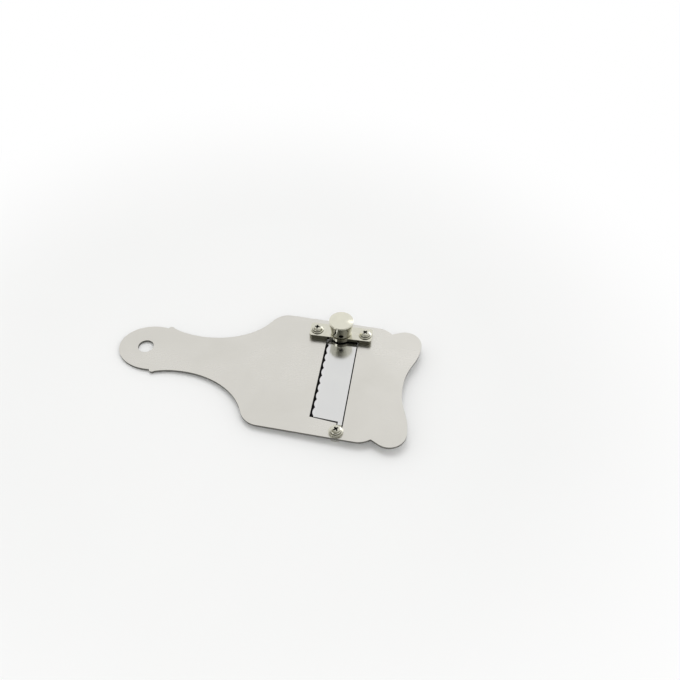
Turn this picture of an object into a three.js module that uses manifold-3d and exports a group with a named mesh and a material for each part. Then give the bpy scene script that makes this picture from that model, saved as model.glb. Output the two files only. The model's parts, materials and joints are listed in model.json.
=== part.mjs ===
// Truffle slicer: a lobed steel plate holds a scalloped blade in a skewed window,
// and a thumb knob on a bridge raises or lowers the blade's free end to set the slice.
// Millimetres. +X runs from the handle to the lobed end, +Y towards the knob, +Z up.
// The nuts under the plate stand on Z = 0.

import * as THREE from "three";
import { mergeVertices } from "three/addons/utils/BufferGeometryUtils.js";
import Module from "manifold-3d";

const wasm = await Module();
wasm.setup();

const DEGREE = Math.PI / 180;
const CURVE_STEPS = 14;
const ROUND_STEPS = 40;
const EDGE_STEPS = 6;

// Plate
const plateLength = 185;
const plateWidth = 87;
const plateThickness = 1.5;

// Handle end, distances from the tip
const endReach = 21.5;
const endWidth = 34.5;
const hangHoleAt = 16.6;
const hangHoleDiameter = 9.6;

// Small bead on each flank, next to the rounded end
const beadAt = 27.2;
const beadOffset = 16.6;
const beadRadius = 2;
const beadFrom = 166 * DEGREE;
const beadTo = 35 * DEGREE;

// Waist of the handle and the shoulder into the head
const waistAt = 48;
const waistWidth = 29;
const flankControlAt = 36.5;
const waistRun = 15;
const shoulderAt = 100;
const shoulderRadius = 12.6;
const shoulderSlope = 64 * DEGREE;
const shoulderRun = 17;

// Notched, lobed end
const cornerAt = 156.6;
const cornerRadius = 13.1;
const cornerTo = 47 * DEGREE;
const lobeRadius = 10.15;
const lobeFrom = 118 * DEGREE;
const endDip = 7;
const dipRun = 17.3;
const lobeRun = 15;

// Knob axis on the plate, and the turn of the bridge and window about it
const knobAt = 134.15;
const knobInset = 10.7;
const skew = 2.4 * DEGREE;

// Window, from the knob axis, with a narrow throat for the blade's neck
const windowCentre = 1.62;
const windowWidth = 20;
const windowTop = 4.2;
const windowFootAboveEye = 8;
const windowFootSlant = 6.8 * DEGREE;
const throatAboveEye = 2.8;

// Blade
const bladeThickness = 0.8;
const bladeEdgeGap = 1.15;
const bladeSideGap = 0.7;
const bladeTopGap = 0.6;
const bladeFootGap = 0.4;
const bladeFootSlant = 5 * DEGREE;
const scallopCount = 10;
const scallopDepth = 1.05;
const scallopTop = -3.7;
const scallopFootMargin = 1.1;
const honeWidth = 2;
const honeDrop = 0.25;
const grindWidth = 4;
const edgeThickness = 0.12;
const cutMargin = 1;
const neckWidth = 2.5;
const neckGap = 0.6;
const neckRoot = 2.5;
const bendTopAboveEye = 6.7;
const bendFootAboveEye = 3.3;
const eyeSide = 2.57;
const eyeInset = 4;
const eyeRadius = 4;

// Bridge
const bridgeScrewMargin = 5.15;
const bridgeEndMargin = 4.4;
const bridgeDepth = 10.4;
const bridgeHeight = 3.4;
const bridgeCornerRadius = 1.6;
const bossRadius = 6.9;
const reliefHeight = 1.15;
const reliefMargin = 0.7;

// Knob and its stud
const knobHeight = 10.4;
const knobTopRadius = 7.65;
const knobFootRadius = 6.5;
const knobDome = 0.35;
const knobRimRound = 0.7;
const knobFootRound = 0.5;
const knobRise = 0.5;
const knobSocketDepth = 7;
const grubHoleRadius = 1.5;
const grubHoleHeight = 2.6;
const grubHoleTurn = 8.5 * DEGREE;
const studRadius = 2;
const journalRadius = 1.4;
const retainerRadius = 3;
const retainerThickness = 0.5;
const studEndRadius = 2;
const studEndHeight = 0.6;

// Screws, washer and nuts
const screwRadius = 2;
const headRadius = 4;
const headHeight = 2.6;
const headRim = 1.2;
const washerRadius = 4.3;
const washerThickness = 0.8;
const nutFlats = 7;
const nutHeight = 3.2;
const screwEndInset = 0.1;

// Clearances
const holeGap = 0.3;
const threadGap = 0.15;
const slideGap = 0.15;

// Sizes that follow
const tip = -plateLength / 2;
const halfWidth = plateWidth / 2;
const plateTop = nutHeight + plateThickness;
const knobOffset = halfWidth - knobInset;
const windowLeft = windowCentre - windowWidth / 2;
const windowRight = windowCentre + windowWidth / 2;
const eyeY = knobInset + eyeInset - plateWidth;
const windowLeftFoot = eyeY + windowFootAboveEye;
const throatEnd = eyeY + throatAboveEye;
const scallopFoot = windowLeftFoot + scallopFootMargin;
const scallopPitch = (scallopTop - scallopFoot) / scallopCount;
const bridgeScrewSpacing = windowWidth + 2 * bridgeScrewMargin;
const bridgeLength = bridgeScrewSpacing + 2 * bridgeEndMargin;
const bladeCrest = windowLeft + bladeEdgeGap;
const bladeRight = windowRight - bladeSideGap;
const bladeTop = windowTop - bladeTopGap;
const eyeX = bladeRight - eyeSide;
const neckBendTop = eyeY + bendTopAboveEye;
const neckBendBottom = eyeY + bendFootAboveEye;
const neckLeft = bladeRight - neckWidth;
const throatLeft = neckLeft - neckGap;
const eyeTop = -plateThickness - slideGap;
const bladeNutHeight = nutHeight - bladeThickness - 2 * slideGap;
const knobFoot = bridgeHeight + knobRise;
const screwEnd = screwEndInset - plateTop;

// Finishes as seen: satin plate, polished blade, bright plated fittings
const satinSteel = { color: "#d5d2cb", roughness: 0.28, metalness: 1 };
const polishedSteel = { color: "#dcdcde", roughness: 0.08, metalness: 1 };
const nickelPlate = { color: "#d6d3c4", roughness: 0.14, metalness: 1 };
const plainSteel = { color: "#c9c7be", roughness: 0.3, metalness: 1 };

// A named mesh with a material of its own
function piece(name, geometry, finish) {
  const mesh = new THREE.Mesh(geometry, new THREE.MeshStandardMaterial(finish));
  mesh.name = name;
  return mesh;
}

// A flat shape given depth upwards from a level
function extrude(shape, depth, level) {
  const options = { depth, bevelEnabled: false, curveSegments: ROUND_STEPS / 2 };
  return new THREE.ExtrudeGeometry(shape, options).translate(0, 0, level);
}

// A turned piece: radius and height pairs about the Z axis
function turn(profile) {
  const points = profile.map(([radius, height]) => new THREE.Vector2(radius, height));
  return new THREE.LatheGeometry(points, ROUND_STEPS).rotateX(Math.PI / 2);
}

// A solid for cutting and joining, and the way back to a geometry
function solidOf(geometry) {
  const bare = geometry.clone();
  bare.deleteAttribute("normal");
  bare.deleteAttribute("uv");
  const merged = mergeVertices(bare, 1e-4);
  const vertProperties = new Float32Array(merged.attributes.position.array);
  const triVerts = new Uint32Array(merged.index.array);
  return new wasm.Manifold(new wasm.Mesh({ numProp: 3, vertProperties, triVerts }));
}

function geometryOf(solid) {
  const mesh = solid.getMesh();
  const geometry = new THREE.BufferGeometry();
  geometry.setAttribute("position", new THREE.BufferAttribute(mesh.vertProperties, 3));
  geometry.setIndex(new THREE.BufferAttribute(mesh.triVerts, 1));
  geometry.computeVertexNormals();
  return geometry;
}

function roundHole(x, y, radius) {
  return new THREE.Path().absarc(x, y, radius, 0, 2 * Math.PI);
}

// A point of the bridge and window, given from the knob axis, on the plate
function onPlate(x, y) {
  const axis = new THREE.Vector2(tip + knobAt, knobOffset);
  return new THREE.Vector2(x, y).rotateAround(new THREE.Vector2(), skew).add(axis);
}

// One flank of the plate, from the tip of the handle round to the middle of the lobed end
function plateFlank() {
  const endHalf = endWidth / 2;
  const waistHalf = waistWidth / 2;
  const meet = beadAt + beadRadius * Math.cos(beadFrom);
  const endTo = Math.acos((meet - endReach) / endReach);
  const shoulderX = tip + shoulderAt - shoulderRadius * Math.sin(shoulderSlope);
  const shoulderY = halfWidth - shoulderRadius * (1 - Math.cos(shoulderSlope));
  const lobeX = -tip - lobeRadius;
  const lobeY = halfWidth - lobeRadius;
  const flank = new THREE.Path();
  flank.absellipse(tip + endReach, 0, endReach, endHalf, Math.PI, endTo, true);
  flank.absarc(tip + beadAt, beadOffset, beadRadius, beadFrom, beadTo, true);
  flank.quadraticCurveTo(tip + flankControlAt, waistHalf, tip + waistAt, waistHalf);
  flank.bezierCurveTo(
    tip + waistAt + waistRun,
    waistHalf,
    shoulderX - shoulderRun * Math.cos(shoulderSlope),
    shoulderY - shoulderRun * Math.sin(shoulderSlope),
    shoulderX,
    shoulderY,
  );
  flank.absarc(
    tip + shoulderAt,
    halfWidth - shoulderRadius,
    shoulderRadius,
    Math.PI / 2 + shoulderSlope,
    Math.PI / 2,
    true,
  );
  flank.absarc(tip + cornerAt, halfWidth - cornerRadius, cornerRadius, Math.PI / 2, cornerTo, true);
  flank.absarc(lobeX, lobeY, lobeRadius, lobeFrom, 0, true);
  flank.bezierCurveTo(-tip, lobeY - lobeRun, -tip - endDip, dipRun, -tip - endDip, 0);
  return flank.getPoints(CURVE_STEPS);
}

// Window outline with the slanted foot and the throat, on the plate
function windowPath() {
  const foot = windowLeftFoot - (throatLeft - windowLeft) * Math.tan(windowFootSlant);
  const corners = [
    onPlate(windowLeft, windowTop),
    onPlate(windowLeft, windowLeftFoot),
    onPlate(throatLeft, foot),
    onPlate(throatLeft, throatEnd),
    onPlate(windowRight, throatEnd),
    onPlate(windowRight, windowTop),
  ];
  return new THREE.Path(corners);
}

function makePlate() {
  const flank = plateFlank();
  const mirrored = flank.slice(1, -1).reverse();
  const shape = new THREE.Shape([...flank, ...mirrored.map((p) => new THREE.Vector2(p.x, -p.y))]);
  const screwHoles = [
    onPlate(-bridgeScrewSpacing / 2, 0),
    onPlate(bridgeScrewSpacing / 2, 0),
    onPlate(eyeX, eyeY),
  ];
  shape.holes.push(roundHole(tip + hangHoleAt, 0, hangHoleDiameter / 2));
  shape.holes.push(windowPath());
  for (const hole of screwHoles) {
    shape.holes.push(roundHole(hole.x, hole.y, screwRadius + holeGap));
  }
  return piece("plate", extrude(shape, plateThickness, nutHeight), satinSteel);
}

// Blade outline: round lobes along the cutting edge, meeting in points
function bladeShape() {
  const notch = bladeCrest + scallopDepth;
  const halfPitch = scallopPitch / 2;
  const lobe = (halfPitch ** 2 + scallopDepth ** 2) / (2 * scallopDepth);
  const sweep = Math.asin(halfPitch / lobe);
  const leftFoot = windowLeftFoot + bladeFootGap;
  const rightFoot = leftFoot - (bladeRight - notch) * Math.tan(bladeFootSlant);
  const shape = new THREE.Shape();
  shape.moveTo(bladeRight, bladeTop);
  shape.lineTo(notch, bladeTop);
  for (let i = scallopCount - 1; i >= 0; i--) {
    const middle = scallopFoot + (i + 0.5) * scallopPitch;
    shape.absarc(bladeCrest + lobe, middle, lobe, Math.PI - sweep, Math.PI + sweep, false);
  }
  shape.lineTo(notch, leftFoot);
  shape.lineTo(bladeRight, rightFoot);
  shape.holes.push(roundHole(0, 0, journalRadius + holeGap));
  return shape;
}

// A bar along Y whose section is drawn in X and Z
function barAlongBlade(corners) {
  const section = new THREE.Shape(corners.map(([x, z]) => new THREE.Vector2(x, z)));
  const length = bladeTop - eyeY;
  const bar = extrude(section, length, 0).rotateX(Math.PI / 2);
  return bar.translate(0, bladeTop + cutMargin, 0);
}

// The neck steps down through the throat from the blade to the eye under the plate
function neckStrip() {
  const edge = [
    [neckBendTop + neckRoot, 0],
    [neckBendTop, 0],
    [neckBendBottom, eyeTop],
    [eyeY + screwRadius + holeGap, eyeTop],
  ];
  const top = edge.map(([y, z]) => new THREE.Vector2(y, z));
  const under = edge.map(([y, z]) => new THREE.Vector2(y, z - bladeThickness)).reverse();
  const strip = extrude(new THREE.Shape([...top, ...under]), neckWidth, neckLeft);
  // drawn in Y and Z with its depth along X
  return strip.applyMatrix4(
    new THREE.Matrix4().makeBasis(
      new THREE.Vector3(0, 1, 0),
      new THREE.Vector3(0, 0, 1),
      new THREE.Vector3(1, 0, 0),
    ),
  );
}

function makeBlade() {
  const eye = new THREE.Shape().absarc(eyeX, eyeY, eyeRadius, 0, 2 * Math.PI);
  eye.holes.push(roundHole(eyeX, eyeY, screwRadius + holeGap));
  const edgeFoot = -honeDrop - edgeThickness;
  const hone = [
    [bladeCrest + honeWidth, 0],
    [bladeCrest, -honeDrop],
    [bladeCrest - cutMargin, -honeDrop],
    [bladeCrest - cutMargin, cutMargin],
    [bladeCrest + honeWidth, cutMargin],
  ];
  const grind = [
    [bladeCrest + grindWidth, -bladeThickness],
    [bladeCrest + grindWidth, -bladeThickness - cutMargin],
    [bladeCrest - cutMargin, -bladeThickness - cutMargin],
    [bladeCrest - cutMargin, edgeFoot],
    [bladeCrest, edgeFoot],
  ];
  const blade = solidOf(extrude(bladeShape(), bladeThickness, -bladeThickness))
    .subtract(solidOf(barAlongBlade(hone)))
    .subtract(solidOf(barAlongBlade(grind)))
    .add(solidOf(neckStrip()))
    .add(solidOf(extrude(eye, bladeThickness, eyeTop - bladeThickness)));
  return piece("blade", geometryOf(blade), polishedSteel);
}

// Bridge outline: a bar with rounded corners and a round boss that bulges from both long sides
function bridgeShape() {
  const halfLength = bridgeLength / 2;
  const halfDepth = bridgeDepth / 2;
  const r = bridgeCornerRadius;
  const bulge = Math.asin(halfDepth / bossRadius);
  const shape = new THREE.Shape();
  shape.absarc(0, 0, bossRadius, -Math.PI + bulge, -bulge, false);
  shape.absarc(halfLength - r, r - halfDepth, r, -Math.PI / 2, 0, false);
  shape.absarc(halfLength - r, halfDepth - r, r, 0, Math.PI / 2, false);
  shape.absarc(0, 0, bossRadius, bulge, Math.PI - bulge, false);
  shape.absarc(r - halfLength, halfDepth - r, r, Math.PI / 2, Math.PI, false);
  shape.absarc(r - halfLength, r - halfDepth, r, Math.PI, 1.5 * Math.PI, false);
  shape.holes.push(roundHole(0, 0, studRadius + holeGap));
  shape.holes.push(roundHole(-bridgeScrewSpacing / 2, 0, screwRadius + holeGap));
  shape.holes.push(roundHole(bridgeScrewSpacing / 2, 0, screwRadius + holeGap));
  return shape;
}

// The underside is relieved over the window, so that the blade can rise
function makeBridge() {
  const reliefWidth = windowWidth + 2 * reliefMargin;
  const reliefDepth = 2 * (bossRadius + cutMargin);
  const relief = new THREE.BoxGeometry(reliefWidth, reliefDepth, 2 * reliefHeight);
  relief.translate(windowCentre, 0, 0);
  const bridge = solidOf(extrude(bridgeShape(), bridgeHeight, 0)).subtract(solidOf(relief));
  return piece("bridge", geometryOf(bridge), nickelPlate);
}

// A quarter turn of a rounded edge about a radius and height, from an angle to 90 degrees past it
function roundedEdge(radius, height, bend, from) {
  const points = [];
  for (let i = 0; i <= EDGE_STEPS; i++) {
    const angle = from + ((i / EDGE_STEPS) * Math.PI) / 2;
    points.push([radius + bend * Math.cos(angle), height + bend * Math.sin(angle)]);
  }
  return points;
}

// Tapered knob with rounded edges, a slightly domed top, a socket for the stud
// and a hole through its near side for the grub screw that holds the stud
function makeKnob() {
  const socketRadius = studRadius + threadGap;
  const rimLevel = knobHeight - knobDome - knobRimRound;
  const profile = [
    [0, knobSocketDepth],
    [socketRadius, knobSocketDepth],
    [socketRadius, 0],
    ...roundedEdge(knobFootRadius - knobFootRound, knobFootRound, knobFootRound, -Math.PI / 2),
    ...roundedEdge(knobTopRadius - knobRimRound, rimLevel, knobRimRound, 0),
    [knobTopRadius / 2, knobHeight - knobDome / 4],
    [0, knobHeight],
  ];
  const hole = new THREE.CylinderGeometry(grubHoleRadius, grubHoleRadius, knobTopRadius, ROUND_STEPS / 2);
  hole.translate(0, -knobTopRadius / 2, grubHoleHeight).rotateZ(grubHoleTurn);
  const knob = solidOf(turn(profile)).subtract(solidOf(hole)).translate(0, 0, knobFoot);
  return piece("knob", geometryOf(knob), nickelPlate);
}

// Stud: stem in the boss, shoulder on the blade, journal through it and a staked end
function makeStud() {
  const shoulder = slideGap;
  const endTop = -bladeThickness - 2 * slideGap - retainerThickness;
  const profile = [
    [0, endTop - studEndHeight],
    [studEndRadius, endTop - studEndHeight],
    [studEndRadius, endTop],
    [journalRadius, endTop],
    [journalRadius, shoulder],
    [studRadius, shoulder],
    [studRadius, knobFoot + knobSocketDepth - threadGap],
    [0, knobFoot + knobSocketDepth - threadGap],
  ];
  return piece("stud", turn(profile), plainSteel);
}

// Flat ring standing on a level
function ring(innerRadius, outerRadius, thickness, level) {
  const profile = [
    [innerRadius, level],
    [outerRadius, level],
    [outerRadius, level + thickness],
    [innerRadius, level + thickness],
    [innerRadius, level],
  ];
  return turn(profile);
}

function makeRetainer() {
  const level = -bladeThickness - slideGap - retainerThickness;
  const washer = ring(journalRadius + threadGap, retainerRadius, retainerThickness, level);
  return piece("retaining_washer", washer, plainSteel);
}

function makeBladeWasher() {
  const washer = ring(screwRadius + holeGap, washerRadius, washerThickness, 0);
  return piece("blade_washer", washer.translate(eyeX, eyeY, 0), nickelPlate);
}

// Pan-head screw whose head sits on a level, its end just inside the nut
function makeScrew(name, x, y, level) {
  const domeHeight = headHeight - headRim;
  const dome = (headRadius ** 2 + domeHeight ** 2) / (2 * domeHeight);
  const domeSweep = Math.asin(headRadius / dome);
  const profile = [
    [0, screwEnd],
    [screwRadius, screwEnd],
    [screwRadius, level],
    [headRadius, level],
  ];
  for (let i = 0; i <= EDGE_STEPS; i++) {
    const angle = domeSweep * (1 - i / EDGE_STEPS);
    const height = level + headHeight - dome * (1 - Math.cos(angle));
    profile.push([dome * Math.sin(angle), height]);
  }
  return piece(name, turn(profile).translate(x, y, 0), nickelPlate);
}

// Hexagon nut standing on Z = 0
function makeNut(name, x, y, height) {
  const corner = nutFlats / Math.sqrt(3);
  const corners = [];
  for (let i = 0; i < 6; i++) {
    const angle = i * 60 * DEGREE;
    corners.push(new THREE.Vector2(x + corner * Math.cos(angle), y + corner * Math.sin(angle)));
  }
  const shape = new THREE.Shape(corners);
  shape.holes.push(roundHole(x, y, screwRadius + threadGap));
  return piece(name, extrude(shape, height, -plateTop), plainSteel);
}

// Everything that is drawn from the knob axis at the plate's top face
const mechanism = new THREE.Group();
mechanism.position.set(tip + knobAt, knobOffset, plateTop);
mechanism.rotation.z = skew;
mechanism.add(
  makeBlade(),
  makeBridge(),
  makeKnob(),
  makeStud(),
  makeRetainer(),
  makeScrew("bridge_screw_left", -bridgeScrewSpacing / 2, 0, bridgeHeight),
  makeScrew("bridge_screw_right", bridgeScrewSpacing / 2, 0, bridgeHeight),
  makeScrew("blade_screw", eyeX, eyeY, washerThickness),
  makeBladeWasher(),
  makeNut("bridge_nut_left", -bridgeScrewSpacing / 2, 0, nutHeight),
  makeNut("bridge_nut_right", bridgeScrewSpacing / 2, 0, nutHeight),
  makeNut("blade_nut", eyeX, eyeY, bladeNutHeight),
);

const group = new THREE.Group();
group.add(makePlate(), mechanism);

export default group;
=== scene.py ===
# Truffle slicer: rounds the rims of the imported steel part, turns its fittings, gives every piece a metal
# finish, and sets it on a pale floor under soft light. Metres; sizes written in millimetres times MM.

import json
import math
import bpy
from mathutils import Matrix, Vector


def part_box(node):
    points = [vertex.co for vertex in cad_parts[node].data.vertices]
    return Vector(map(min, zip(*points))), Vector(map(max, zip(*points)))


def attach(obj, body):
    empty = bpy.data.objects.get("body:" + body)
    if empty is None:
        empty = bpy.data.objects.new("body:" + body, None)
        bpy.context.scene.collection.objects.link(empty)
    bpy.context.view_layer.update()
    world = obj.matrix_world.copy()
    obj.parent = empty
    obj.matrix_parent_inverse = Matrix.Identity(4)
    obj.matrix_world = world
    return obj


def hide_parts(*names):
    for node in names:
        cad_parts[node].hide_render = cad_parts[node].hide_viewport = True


bl_info = {
    "name": "Truffle slicer",
    "version": (1, 0, 0),
    "blender": (4, 5, 0),
    "location": "View3D > Sidebar > Slicer",
    "description": "Dresses a truffle slicer around its packed frame",
    "category": "Object",
}

import bpy
from bpy.props import FloatProperty, FloatVectorProperty, PointerProperty
from bpy.types import NodeSocket, Operator, Panel, PropertyGroup
from mathutils import Matrix, Vector

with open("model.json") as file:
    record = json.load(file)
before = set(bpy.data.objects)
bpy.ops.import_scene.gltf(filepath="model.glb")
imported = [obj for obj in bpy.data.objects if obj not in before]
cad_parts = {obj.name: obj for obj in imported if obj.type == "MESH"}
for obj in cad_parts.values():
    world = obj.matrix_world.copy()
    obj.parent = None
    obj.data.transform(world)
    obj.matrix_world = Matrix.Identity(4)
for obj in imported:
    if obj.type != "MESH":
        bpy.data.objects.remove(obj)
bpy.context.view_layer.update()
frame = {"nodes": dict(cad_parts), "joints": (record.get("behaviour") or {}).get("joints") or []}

MM = 0.001
WHITE = (1, 1, 1, 1)

# Steps round a turned piece, angles up to which curves shade smooth, and what counts as one point or flat
TURN_STEPS = 72
SMOOTH_ANGLE = math.radians(35)
BLADE_SMOOTH_ANGLE = math.radians(6)
WELD_REACH = 0.0005 * MM
FLAT_ANGLE = math.radians(0.4)

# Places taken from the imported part
JOINTS = {joint["name"]: joint for joint in frame["joints"]}
KNOB_AXIS = Vector(JOINTS["knob_turn"]["pos_m"])
SKEW = math.atan2(JOINTS["blade_tilt"]["axis"][1], JOINTS["blade_tilt"]["axis"][0])
BLADE_WAY = Vector((-math.sin(SKEW), math.cos(SKEW), 0))
BLADE_SIDE = Vector((math.cos(SKEW), math.sin(SKEW), 0))
PLATE_LOW, PLATE_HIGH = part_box("plate")

# Blade: upper bend of its neck, how near a point is that belongs to it, and border of the ground band
BEND_ABOVE_EYE = 6.7 * MM
BEND_REACH = 0.1 * MM
HONE_BORDER = 0.2 * MM

# Threads: radius of the stems, and depth and crest of a thread as shares of its pitch
STEM_RADIUS = 2 * MM
THREAD_DEPTH = 0.45
CREST_START = 0.42
CREST_END = 0.58

# Knob: socket for the stud, degrees of the rim's round, and rings of the domed top as shares of its flat
SOCKET_RADIUS = 2.15 * MM
SOCKET_MOUTH = 0.3 * MM
SOCKET_DEPTH = 7 * MM
KNOB_RIM_END = 84
DOME_SHARES = (0.75, 0.5, 0.25, 0.03)

# Grub screw across the knob's foot, on the near side; start and end are distances from the knob's axis
GRUB_RADIUS = 1.5 * MM
GRUB_HEIGHT = 2.6 * MM
GRUB_TURN = SKEW + math.radians(8.5)
GRUB_WAY = Vector((math.sin(GRUB_TURN), -math.cos(GRUB_TURN), 0))
GRUB_PLACE = Vector((KNOB_AXIS.x, KNOB_AXIS.y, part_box("knob")[0].z + GRUB_HEIGHT))
GRUB_START = 2.1 * MM
GRUB_END = 4.9 * MM
GRUB_FIT = 0.94
GRUB_POINT = 0.6
GRUB_FACE = 0.8
GRUB_PITCH = 0.5 * MM
GRUB_KEY_RADIUS = 0.87 * MM
GRUB_KEY_DEPTH = 1.2 * MM
GRUB_HOLE_START = 2.3 * MM
GRUB_HOLE_END = 6.5 * MM

# Stud: end staked over the keeper, journal through the blade, shoulder just above the plate
STUD_END = 0.6 * MM
STUD_END_ROUND = 0.3 * MM
STUD_JOURNAL = 1.4 * MM
STUD_SHOULDER = 0.15 * MM

# Head of the screws: a low dome on a flange; rounds end at angles in degrees
SCREW_HEIGHT = 2.6 * MM
SCREW_FLANGE = 4 * MM
SCREW_RIM = 0.2 * MM
SCREW_RIM_HEIGHT = 0.45 * MM
SCREW_RIM_END = 78
SCREW_HEAD = 3.2 * MM
SCREW_BALL = 6.5 * MM
SCREW_BALL_END = 89.5
SCREW_EDGE = 0.7 * MM
SCREW_CORNER = 0.75 * MM
RECESS_TAPER = 0.6

# Turn of each cross recess: left from the line of the bridge, right from the left, foot from the bridge
LEFT_TURN = math.radians(-2)
RIGHT_TURN = math.radians(54)
FOOT_TURN = math.radians(39)

# Washers: holes of the one under the blade screw and of the keeper under the blade, and rounded edge
FOOT_WASHER_HOLE = 2.3 * MM
KEEPER_HOLE = 1.55 * MM
WASHER_ROUND = 0.15 * MM

# Nuts: width across flats, their turn, flat face as a share of that width, chamfer, hole and countersink
NUT_FLATS = 7 * MM
NUT_TURN = SKEW + math.radians(30)
NUT_FACE = 0.96
NUT_CHAMFER = 0.35 * MM
NUT_HOLE = 2.15 * MM
NUT_SINK = 0.45 * MM

# Floor: radius and steps, gap to the part, rest of the handle's tip, fade to white, tone of its clouds
FLOOR_RADIUS = 3
FLOOR_STEPS = 96
FLOOR_GAP = 0.03 * MM
TIP_INSET = 1 * MM
TIP_ASIDE = -5 * MM
FADE_START = 0.14
FADE_END = 0.32
CLOUD_TONE = 0.98

# Painted deep shade on the floor under the plate's window, in the line of the blade
SHADE_PLACE = KNOB_AXIS + 1.3 * MM * BLADE_SIDE - 33.8 * MM * BLADE_WAY
SHADE_HALF_WIDTH = 14 * MM
SHADE_HALF_LENGTH = 33 * MM
SHADE_CORE = 0.85
SHADE_TONE = (0.03, 0.03, 0.03, 1)

# Room: cosine of the angle to the near side's middle at which each tone is reached
BRIGHT_AT = 0.45
ABOVE_AT = 0.8
DIM_AT = 0.93
DARK_AT = 0.985

# High sides of the room, by how far a direction points aside rather than back, and by its height
SIDE_LEAN = 0.6
SIDE_START = 0.2
SIDE_END = 0.4
SIDE_LOW = 0.62
SIDE_HIGH = 0.74

# Low part of the room, by the height of a direction
LOW_START = 0.55
LOW_END = 0.42

# Lamps: where they stand, how wide they are, and which of them light the floor
LAMP_PLACES = {
    "key": (-0.1, 0.45, 1.05),
    "fill": (0.2, -0.62, 0.8),
    "gleam": (0.05, 0.71, 0.77),
    "window": (0.70, 0.88, 0.40),
    "front": (-0.46, -0.47, 0.75),
}
LAMP_WIDTHS = {"key": 0.7, "fill": 0.5, "gleam": 0.08, "window": 0.6, "front": 0.26}
FLOOR_LAMPS = ("key", "fill")


def centre_of(node):
    """Middle of a node's box."""
    low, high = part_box(node)
    return (low + high) / 2


# Settings


class PlateSettings(PropertyGroup):
    """Rim and finish of the plate."""

    rim_round: FloatProperty(
        name="Rim round",
        description="Radius of the tumbled rim of the stamped sheet",
        default=0.3 * MM,
        unit="LENGTH",
    )
    light_tone: FloatVectorProperty(
        name="Light tone",
        description="Lighter tone of the satin steel",
        subtype="COLOR",
        size=4,
        default=(0.690, 0.678, 0.645, 1),
    )
    dark_tone: FloatVectorProperty(
        name="Dark tone",
        description="Darker tone of the satin steel",
        subtype="COLOR",
        size=4,
        default=(0.640, 0.628, 0.590, 1),
    )
    # Painted highlight: a lighter tone laid on the rounded rim, where light catches the edge
    rim_highlight_tone: FloatVectorProperty(
        name="Rim tone",
        description="Tumbled rim of the sheet",
        subtype="COLOR",
        size=4,
        default=(0.78, 0.77, 0.74, 1),
    )
    # Dull sheared steel on the sheet's upright wall, darkened further with painted shade
    sheared_wall_shade_tone: FloatVectorProperty(
        name="Wall tone",
        description="Sheared wall of the sheet",
        subtype="COLOR",
        size=4,
        default=(0.180, 0.176, 0.163, 1),
    )


class BladeSettings(PropertyGroup):
    """Bend and finish of the blade."""

    tone: FloatVectorProperty(
        name="Tone",
        description="Polished steel of the blade",
        subtype="COLOR",
        size=4,
        default=(0.695, 0.700, 0.700, 1),
    )
    smudge_tone: FloatVectorProperty(
        name="Smudge tone",
        description="Polished steel where it is smudged",
        subtype="COLOR",
        size=4,
        default=(0.655, 0.66, 0.675, 1),
    )
    hone_tone: FloatVectorProperty(
        name="Hone tone",
        description="Freshly ground band along the scallops",
        subtype="COLOR",
        size=4,
        default=(0.735, 0.738, 0.75, 1),
    )
    stone_tone: FloatVectorProperty(
        name="Stone tone",
        description="Lines that the stone leaves in the ground band",
        subtype="COLOR",
        size=4,
        default=(0.62, 0.62, 0.62, 1),
    )
    bend_shift: FloatProperty(
        name="Bend shift",
        description="How far the neck's upper bend moves towards the eye, out of sight under the washer",
        default=1.7 * MM,
        unit="LENGTH",
    )
    hone_start: FloatProperty(
        name="Hone start",
        description="Where the ground band along the scallops begins, left of the knob axis",
        default=5.23 * MM,
        unit="LENGTH",
    )


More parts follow.
